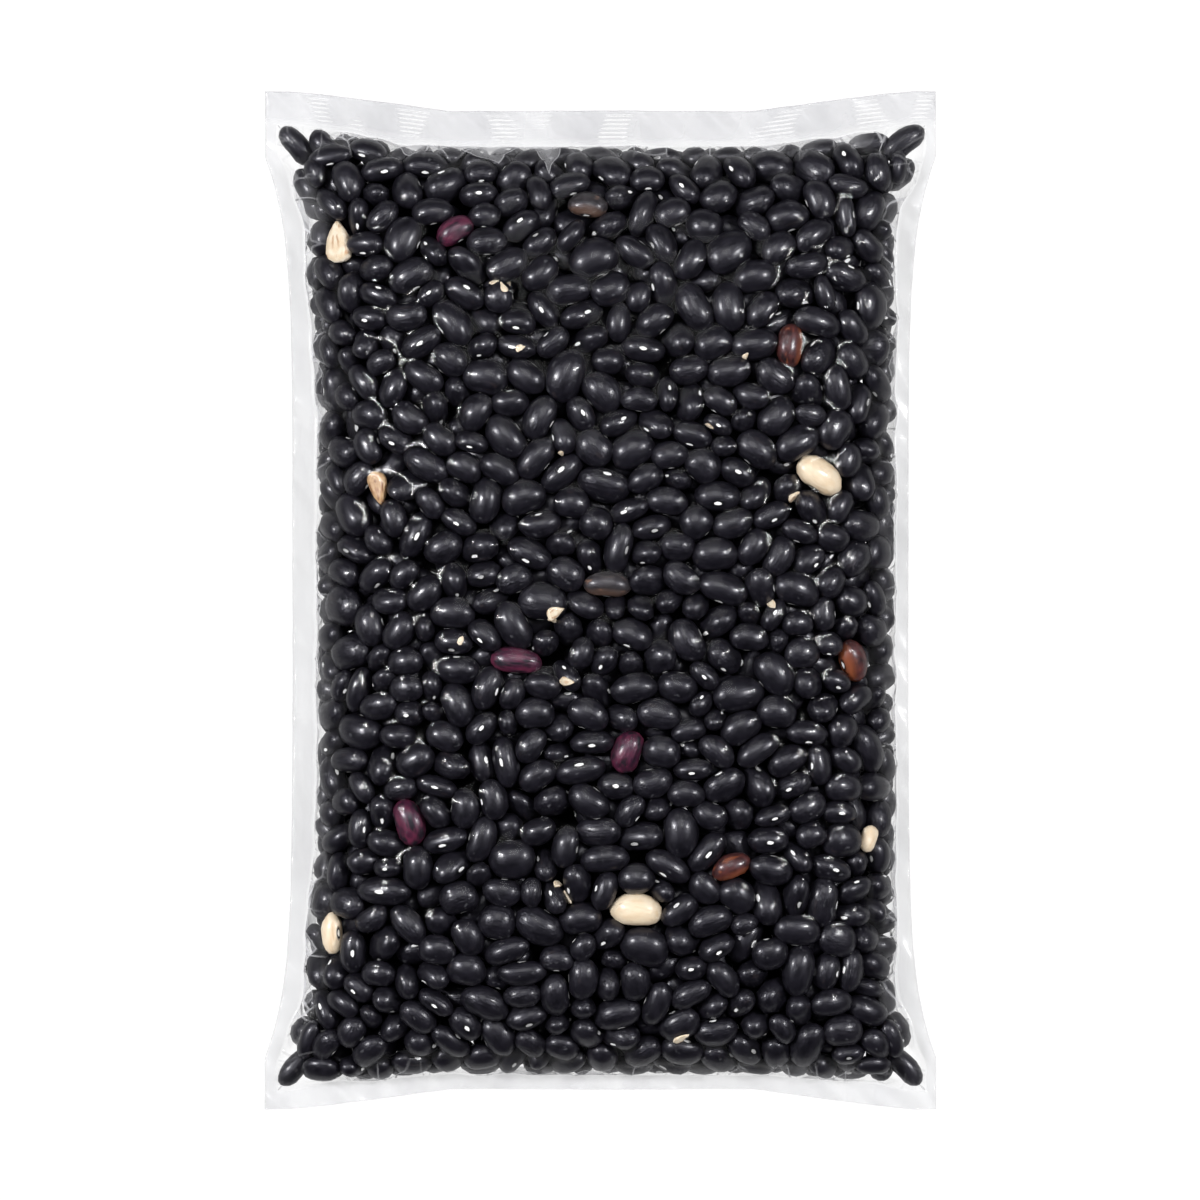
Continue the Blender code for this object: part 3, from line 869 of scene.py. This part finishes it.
def seam_height(x, y, outward):
    """The seam waves, and lifts at the corners, towards the film's edge."""
    across, along = x / (FILM_WIDTH / 2), y / (FILM_LENGTH / 2)
    end_wave = np.sin(9.0 * across + 1.3) * along**4
    side_wave = np.sin(11.0 * along) * across**4
    corner = (across * along) ** 4
    return SEAM_HEIGHT + outward * (WAVE_RISE * (end_wave + side_wave) + CORNER_LIFT * corner)


# %% One sheet, let in towards the beans
def film_sheet(upper):
    """Points of one sheet as a grid, and what its finish reads.

    That is the haze, the distance from the weld, the depth in the ribs and a flat map of the flank.
    """
    columns, out_columns = grid_lines(
        CHAMBER_STEPS[0], MARGIN_STEPS[0], SECTION_HALF[0], SIDE_ROUNDNESS)
    rows, out_rows = grid_lines(CHAMBER_STEPS[1], MARGIN_STEPS[1], SECTION_HALF[1], END_ROUNDNESS)
    s, t = np.meshgrid(columns, rows, indexing="ij")
    out_x, out_y = np.meshgrid(out_columns, out_rows, indexing="ij")
    outward = np.maximum(out_x, out_y)
    chamber = outward == 0
    inner = chamber & (np.abs(s) < 1) & (np.abs(t) < 1)
    x, y, half_x, half_y, film_y = film_plan(s, t, out_x, out_y)
    points = skin_point(s, t, upper)
    points[..., 0], points[..., 1] = x, y
    normals = np.cross(np.gradient(points, axis=0), np.gradient(points, axis=1))
    normals /= np.linalg.norm(normals, axis=-1)[..., None] + 1e-12
    normals *= 1 if upper else -1
    limit = np.full(s.shape, REACH)
    for i, j in zip(*np.nonzero(inner)):
        start = Vector(points[i, j] + normals[i, j] * START_OUT)
        hit = beans_below.ray_cast(start, Vector(-normals[i, j]), REACH + START_OUT)
        if hit[0] is not None:
            limit[i, j] = max(hit[3] - START_OUT - CLEARANCE, -MOST_OUT)
    let_in = np.where(inner, np.minimum(limit, 0), 0.0)
    for _ in range(FILM_ROUNDS):
        mean = let_in.copy()
        mean[1:-1, 1:-1] = (let_in[:-2, 1:-1] + let_in[2:, 1:-1] + let_in[1:-1, :-2]
                            + let_in[1:-1, 2:]) / 4 + PULL_IN
        let_in = np.where(inner, np.minimum(limit, mean), 0.0)
    points -= normals * let_in[..., None]
    if not upper:
        points[..., 2] = np.maximum(points[..., 2], 0.0)
    # pleats run in from the weld, and die out within a centimetre or two
    from_side, from_end = (1 - np.abs(s)) * half_x, (1 - np.abs(t)) * half_y
    border = np.hypot(np.minimum(from_side, from_end), points[..., 2] - SEAM_HEIGHT)
    side_wave = line_noise(y + 0.3 * np.abs(x), (0.031, 0.017, 0.0098, 0.0061), 3)
    end_wave = line_noise(x + 0.2 * y, (0.037, 0.019, 0.0105, 0.0067), 5)
    at_side = from_side < from_end
    ridge = np.clip(1 - 2.2 * np.abs(np.where(at_side, side_wave, end_wave)), 0, 1)
    ridge = ridge * np.exp(-border / PLEAT_FADE) * np.minimum(1, border / PLEAT_START)
    points += normals * (PLEAT_HEIGHT * ridge * inner)[..., None]
    # the welded margin, with ribs across the seal at the top
    margin_z = seam_height(x, y, outward) + (WELD / 2 if upper else -WELD / 2)
    from_top = (1 - out_y) * (film_y - half_y)
    in_ribs = (t > 0) & (out_y > 0) & (from_top > RIB_FROM_EDGE)
    in_ribs &= from_top < RIB_FROM_EDGE + RIB_COUNT * RIB_PITCH
    rib_wave = np.sin(2 * math.pi * (from_top - RIB_FROM_EDGE) / RIB_PITCH)
    margin_z += RIB_HEIGHT * in_ribs * rib_wave
    margin_z += MARGIN_WAVE * outward * line_noise(x + y, (0.0173, 0.0091), 11)
    points[..., 2] = np.where(chamber, points[..., 2], margin_z)
    # the seal at the top is milkier than the rest, and its haze grows from the weld
    weld_haze = WELD_HAZE + np.where(t > 0, SEAL_HAZE, END_HAZE) * ease(out_y, *SEAL_FADE)
    haze = np.where(chamber, EDGE_HAZE * np.exp(-border / EDGE_FADE), weld_haze)
    # a flat map of the flank for the finish: along the weld, and up from it, drawn out
    along = np.where(at_side, y + SIDE_APART * (s > 0), x + SIDE_APART * (2 + (t > 0)))
    along += SIDE_APART / 2 * (not upper)
    flank = np.stack([along, 0.3 * border, np.zeros(s.shape)], -1)
    return points, haze, np.where(chamber, border, -0.001 * outward), from_top * in_ribs, flank


# %% Join two sheets along their edge
def closed_skin(name, top, bottom):
    """A mesh of two grids of points, one over the other, as one closed skin that faces out."""
    columns, rows = top.shape[:2]
    count = columns * rows
    index = np.arange(count).reshape(columns, rows)
    quads = np.stack([index[:-1, :-1], index[1:, :-1], index[1:, 1:], index[:-1, 1:]], -1)
    edge = np.concatenate([index[:-1, 0], index[-1, :-1], index[:0:-1, -1], index[0, :0:-1]])
    after = np.roll(edge, -1)
    rim = np.stack([edge + count, after + count, after, edge], -1)
    faces = np.concatenate([quads.reshape(-1, 4), quads[..., ::-1].reshape(-1, 4) + count, rim])
    points = np.concatenate([top.reshape(-1, 3), bottom.reshape(-1, 3)])
    data = bpy.data.meshes.new(name)
    data.from_pydata(points.tolist(), [], faces.tolist())
    return data


def film_mesh(material):
    """The film of both sheets, with what its finish reads kept as attributes."""
    top, *top_values = film_sheet(True)
    bottom, *bottom_values = film_sheet(False)
    data = closed_skin("film", top, bottom)
    for name, above, below in zip(("haze", "border", "rib_depth", "flank"), top_values, bottom_values):
        kind, field = ("FLOAT_VECTOR", "vector") if above.ndim == 3 else ("FLOAT", "value")
        values = np.concatenate([above.ravel(), below.ravel()])
        data.attributes.new(name, kind, "POINT").data.foreach_set(field, values)
    data.materials.append(material)
    data.polygons.foreach_set("use_smooth", [True] * len(data.polygons))
    print("film", 2 * len(data.polygons), "triangles")
    return data


# %% Clear film material
PLEATS = 120.0  # pleats stand about 8 mm apart
GUSSET_HALF = 0.0085  # half the distance between two Vs
GUSSET_REACH = 0.0165  # how far up the flank the longest V reaches
CRUMPLE_CENTRE = (0.069, 0.088, 0.020)  # on all four flanks alike
FILM_NOISES = (  # scale, detail, stretch and dimensions
    (70.0, 1.0, (1.0, 1.0, 0.0), "2D"),  # where the film is creased
    (14.0, 1.0, (1.0, 1.0, 0.0), "2D"),  # long stretches with more painted reflection than others
    (45.0, 1.0, (1.0, 1.0, 0.0), "2D"),  # sway of the Vs
    (30.0, 1.0, (1.0, 1.0, 0.0), "2D"),  # reach of the Vs
    (100.0, 0.0, (1.0, 0.60, 0.0), "2D"),  # groups of painted highlights along the ribs, drawn as clear dashes
    (60.0, 2.0, (1.6, 0.4, 0.0), "2D"),  # uneven haze of the welds
    (400.0, 2.0, (1.0, 1.0, 1.0), "3D"),  # fine crinkle, about 2 mm across
)


def clear_film():
    """Clear where it is taut, milky where it is welded or creased. The milk, and where it is cut away,
    also paints highlights and reflections.
    """
    material, tree = new_material("clear polyethylene film")
    haze, border, rib_depth, flank = [
        add_node(tree, "ShaderNodeAttribute", attribute_name=name).outputs[output]
        for name, output in (("haze", "Fac"), ("border", "Fac"), ("rib_depth", "Fac"),
                             ("flank", "Vector"))]
    place = add_node(tree, "ShaderNodeTexCoord").outputs["Object"]
    noises = []
    for scale, detail, stretch, dimensions in FILM_NOISES:
        stretched = add_node(tree, "ShaderNodeVectorMath", [place, stretch], operation="MULTIPLY")
        noises.append(add_node(tree, "ShaderNodeTexNoise", {
            "Vector": stretched, "Scale": scale, "Detail": detail}, noise_dimensions=dimensions))
    creases, stretches, sways, reaches, glint_groups, unevenness, crinkle = noises
    # only the film inside the weld is creased, and most of all near it
    inside = add_node(tree, "ShaderNodeMath", [border, 0.0], operation="GREATER_THAN")
    fading = add_node(tree, "ShaderNodeMapRange", [border, 0.0120, 0.0010])
    near_weld = add_node(tree, "ShaderNodeMath", [fading, inside], operation="MULTIPLY")
    # it is most crumpled on the flanks, just below the corners, which their beans pull taut
    mirrored = add_node(tree, "ShaderNodeVectorMath", [place], operation="ABSOLUTE")
    to_crumple = add_node(tree, "ShaderNodeVectorMath", [mirrored, CRUMPLE_CENTRE],
                          operation="DISTANCE").outputs["Value"]
    crumpled = add_node(tree, "ShaderNodeMapRange", [to_crumple, 0.020, 0.011])
    across, along, _ = add_node(tree, "ShaderNodeSeparateXYZ", [mirrored]).outputs
    to_corner = add_node(tree, "ShaderNodeMath", [across, along], operation="MULTIPLY")
    # sharp crease lines: milky where the film is folded, and also a painted highlight along each fold
    facet_edge = add_node(tree, "ShaderNodeTexVoronoi", {"Vector": flank, "Scale": PLEATS},
                          feature="DISTANCE_TO_EDGE", voronoi_dimensions="2D").outputs["Distance"]
    crease_milk_and_glint = add_node(tree, "ShaderNodeMapRange", [facet_edge, 0.034, 0.008])
    in_places = add_node(tree, "ShaderNodeMapRange", [creases, 0.44, 0.60])
    creased = add_node(tree, "ShaderNodeMath", [crumpled, in_places], operation="MAXIMUM")
    smoothed = add_node(tree, "ShaderNodeMapRange", [to_corner, 0.0072, 0.0079, 1.0, 0.2])
    for share in (near_weld, creased, smoothed):
        crease_milk_and_glint = add_node(tree, "ShaderNodeMath", [crease_milk_and_glint, share], operation="MULTIPLY")
    # painted reflection: milky veils, one shade for each facet between the creases, for the light that
    # each facet catches
    facet = add_node(tree, "ShaderNodeTexVoronoi", {"Vector": flank, "Scale": PLEATS},
                     voronoi_dimensions="2D").outputs["Color"]
    painted_reflection = add_node(tree, "ShaderNodeMapRange", [facet, 0.45, 0.95, 0.0, 0.34])
    in_stretches = add_node(tree, "ShaderNodeMapRange", [stretches, 0.46, 0.62, 0.25, 1.0])
    veiled = add_node(tree, "ShaderNodeMath", [crumpled, in_stretches], operation="MAXIMUM")
    for share in (near_weld, veiled):
        painted_reflection = add_node(tree, "ShaderNodeMath", [painted_reflection, share], operation="MULTIPLY")
    # gussets: Vs of film that reach in between the beans, mostly along the top. Their milk is a painted
    # reflection of the light on the steep film, brightest along the rim
    on_map = add_node(tree, "ShaderNodeSeparateXYZ", [flank]).outputs[0]
    sway = add_node(tree, "ShaderNodeMath", [sways, 0.024], operation="MULTIPLY")
    swayed = add_node(tree, "ShaderNodeMath", [on_map, sway], operation="ADD")
    fold = add_node(tree, "ShaderNodeMath", [swayed, GUSSET_HALF], operation="PINGPONG")
    from_apex = add_node(tree, "ShaderNodeMath", [fold, GUSSET_HALF], operation="DIVIDE")
    tip = add_node(tree, "ShaderNodeMath", [1.0, from_apex], operation="SUBTRACT")
    reach = add_node(tree, "ShaderNodeMapRange", [reaches, 0.36, 0.58, 0.0, GUSSET_REACH])
    at_top = add_node(tree, "ShaderNodeMapRange", [
        on_map, 2.7 * SIDE_APART, 2.8 * SIDE_APART, 0.4, 1.0])
    for share in (reach, at_top):
        tip = add_node(tree, "ShaderNodeMath", [tip, share], operation="MULTIPLY")
    over_edge = add_node(tree, "ShaderNodeMath", [tip, border], operation="SUBTRACT")
    over_edge = add_node(tree, "ShaderNodeMath", [over_edge, inside], operation="MULTIPLY")
    step = add_node(tree, "ShaderNodeMapRange", [over_edge, 0.0, 0.0004, 0.0, 0.16])
    slope = add_node(tree, "ShaderNodeMapRange", [over_edge, 0.0, 0.0080, 0.0, 0.20])
    rim = add_node(tree, "ShaderNodeMath", [
        add_node(tree, "ShaderNodeMapRange", [over_edge, 0.0, 0.0003]),
        add_node(tree, "ShaderNodeMapRange", [over_edge, 0.0014, 0.0004, 0.0, 0.30]),
    ], operation="MULTIPLY")
    for milk_and_painted_light in (step, slope, rim):
        painted_reflection = add_node(tree, "ShaderNodeMath", [painted_reflection, milk_and_painted_light], operation="ADD")
    taut = add_node(tree, "ShaderNodeMapRange", [to_corner, 0.0064, 0.0074, 1.0, 0.0])
    painted_reflection = add_node(tree, "ShaderNodeMath", [painted_reflection, taut], operation="MULTIPLY")
    # painted highlights on the ribs: the milk is cut away in dashes that taper at both ends, so that
    # they show bright
    turn = add_node(tree, "ShaderNodeMath", [rib_depth, 2 * math.pi / RIB_PITCH], operation="MULTIPLY")
    rib = add_node(tree, "ShaderNodeMath", [turn], operation="SINE")
    glint_group = add_node(tree, "ShaderNodeMapRange", [glint_groups, 0.52, 0.66, -0.85, 0.30])
    rib_glint = add_node(tree, "ShaderNodeMath", [rib, glint_group], operation="ADD")
    milk_left_by_glints = add_node(tree, "ShaderNodeMapRange", [rib_glint, 0.35, 0.80, 1.0, 0.25])
    uneven = add_node(tree, "ShaderNodeMapRange", [unevenness, 0.3, 0.7, 0.84, 1.24])
    # the film's own haze, with painted highlights and reflections laid into it
    milk_and_painted_light = haze
    for share in (uneven, milk_left_by_glints):
        milk_and_painted_light = add_node(tree, "ShaderNodeMath", [milk_and_painted_light, share], operation="MULTIPLY")
    # the crease lines, milk and painted highlight, at three quarters strength
    faint_crease_milk_and_glint = add_node(tree, "ShaderNodeMath", [crease_milk_and_glint, 0.75], operation="MULTIPLY")
    for more in (painted_reflection, faint_crease_milk_and_glint):
        milk_and_painted_light = add_node(tree, "ShaderNodeMath", [milk_and_painted_light, more], operation="ADD", use_clamp=True)
    # clear film with a soft gloss, and milk over it, which also carries the painted highlights and
    # reflections
    bump = add_node(tree, "ShaderNodeBump", {"Height": crinkle, "Strength": 0.2, "Distance": 0.0003})
    clear = add_node(tree, "ShaderNodeBsdfTransparent")
    gloss = add_node(tree, "ShaderNodeBsdfGlossy", {"Roughness": 0.10, "Normal": bump})
    fresnel = add_node(tree, "ShaderNodeFresnel", {"IOR": 1.20})
    mirror = add_node(tree, "ShaderNodeMath", [fresnel, 0.15], operation="MINIMUM")
    shiny = add_node(tree, "ShaderNodeMixShader", [mirror, clear, gloss])
    milky = add_node(tree, "ShaderNodeBsdfPrincipled", {
        "Base Color": hex_colour("#CDCDD1"), "Roughness": 0.3, "Normal": bump})
    mixed = add_node(tree, "ShaderNodeMixShader", [milk_and_painted_light, shiny, milky])
    add_node(tree, "ShaderNodeOutputMaterial", [mixed])
    return material


# %% Pull the film on
film = add_object("film", film_mesh(clear_film()))

# %% [markdown]
# ## What lies deeper
#
# Only the outer beans are made. A dark body fills the middle of the bag, so that no light comes
# through from below, and the gaps between the beans end in shade.

# %% Core of shade
CORE_DEPTH = 0.0105  # how far the dark body lies within the skin
CORE_STEPS = (24, 36)
CORE_REACH = 0.97  # it ends at this share of s and t


def core_mesh():
    """A closed dark body inside the outer layers of beans."""
    s, t = np.meshgrid(*[CORE_REACH * np.linspace(-1, 1, count) for count in CORE_STEPS], indexing="ij")
    middle = np.array([0.0, 0.0, CROWN_HEIGHT / 2])
    inset = 1 - CORE_DEPTH / np.array([CHAMBER_LEFT, CHAMBER_TOP, CROWN_HEIGHT / 2])
    sheets = [middle + (skin_point(s, t, upper) - middle) * inset for upper in (True, False)]
    return closed_skin("core_of_shade", *sheets)


material, tree = new_material("shade between the beans")
shader = add_node(tree, "ShaderNodeBsdfPrincipled", {
    "Base Color": hex_colour("#060607"), "Roughness": 0.9, "Specular IOR Level": 0.0})
add_node(tree, "ShaderNodeOutputMaterial", [shader])
core = add_object("core_of_shade", core_mesh())
core.data.materials.append(material)
pieces.append(core)
print("core", len(core.data.polygons), "faces")

# %% [markdown]
# ## Camera and light
#
# The photo looks straight down on the bag from a good distance. Two small softboxes at the sides
# give each bean its two lights, and two large ones fill in. The floor and the sky near the horizon
# are white, as in the photo's studio. White floor would show as fog in the gloss of the flanks,
# so what the gloss mirrors is a grey card in the floor's place, which is seen by no other rays.

# %% Camera
PHOTO_SPAN = 0.288  # width of the photo's frame at the seam
CAMERA_DISTANCE = 1.6
PHOTO_MIDDLE = -0.0001  # X of the middle of the photo
camera = add_object("camera", bpy.data.cameras.new("camera"))
camera.data.sensor_width = 36
camera.data.lens = 36 * CAMERA_DISTANCE / PHOTO_SPAN
camera.data.clip_end = 20
camera.location = (PHOTO_MIDDLE, 0.0, SEAM_HEIGHT + CAMERA_DISTANCE)
bpy.context.scene.camera = camera


# %% Lamps
def softbox(name, side, tilt, forward, distance, size, power, shine=True):
    """A rectangular lamp that looks at the bag from one side, tilt degrees from straight above."""
    lamp = bpy.data.lights.new(name, "AREA")
    lamp.shape = "RECTANGLE"
    lamp.size, lamp.size_y = size
    lamp.energy = power
    holder = add_object(name, lamp)
    way = Vector((side * math.sin(math.radians(tilt)), forward, math.cos(math.radians(tilt))))
    holder.location = way.normalized() * distance
    holder.rotation_euler = way.to_track_quat("Z", "Y").to_euler()
    holder.visible_glossy = shine


softbox("left softbox", -1, 40, 0.18, 1.3, (0.18, 0.26), 12)
softbox("right softbox", 1, 40, 0.18, 1.3, (0.18, 0.26), 9)
softbox("top softbox", 0, 0, 0.42, 2.0, (0.9, 0.9), 7.5)
softbox("front fill", 0, 0, -1.1, 2.0, (0.9, 0.9), 9.0, shine=False)

# %% Sky, white near the horizon
HORIZON = (0.09, 0.16)  # the sky fades between these heights on a sphere of radius 1
SKY_STRENGTH = 0.015
world = bpy.data.worlds.new("studio")
world.use_nodes = True
tree = world.node_tree
direction = add_node(tree, "ShaderNodeTexCoord").outputs["Generated"]
upward = add_node(tree, "ShaderNodeSeparateXYZ", [direction]).outputs[2]
strength = add_node(tree, "ShaderNodeMapRange", [upward, *HORIZON, 1.0, SKY_STRENGTH])
background = tree.nodes["Background"]
background.inputs["Color"].default_value = (1, 1, 1, 1)
tree.links.new(strength.outputs[0], background.inputs["Strength"])
bpy.context.scene.world = world
world.cycles_visibility.glossy = False
bpy.context.scene.view_settings.view_transform = "Standard"

# %% Floor, and the card that is mirrored
FLOOR_HALF = 4
CARD_STRENGTH = 0.5
floor_material, tree = new_material("white floor")
shader = add_node(tree, "ShaderNodeBsdfPrincipled", {
    "Base Color": hex_colour("#484848"), "Roughness": 0.9, "Specular IOR Level": 0.0,
    "Emission Color": (1, 1, 1, 1), "Emission Strength": 1.0})
add_node(tree, "ShaderNodeOutputMaterial", [shader])
card_material, tree = new_material("grey card")
shader = add_node(tree, "ShaderNodeEmission", [hex_colour("#FFFFFF"), CARD_STRENGTH])
add_node(tree, "ShaderNodeOutputMaterial", [shader])
sheets = []
for name, material in (("floor", floor_material), ("grey card", card_material)):
    material.cycles.emission_sampling = "NONE"  # it is found by chance, which is quicker
    mesh = bpy.data.meshes.new(name)
    corners = [(x * FLOOR_HALF, y * FLOOR_HALF, 0) for x, y in ((-1, -1), (1, -1), (1, 1), (-1, 1))]
    mesh.from_pydata(corners, [], [(0, 1, 2, 3)])
    mesh.materials.append(material)
    sheets.append(add_object(name, mesh))
floor, card = sheets
floor.visible_glossy = False
card.visible_camera = card.visible_diffuse = card.visible_transmission = card.visible_shadow = False

# %% Finish
for piece in pieces:
    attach(piece, "root")
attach(film, "root")
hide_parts(NODE)
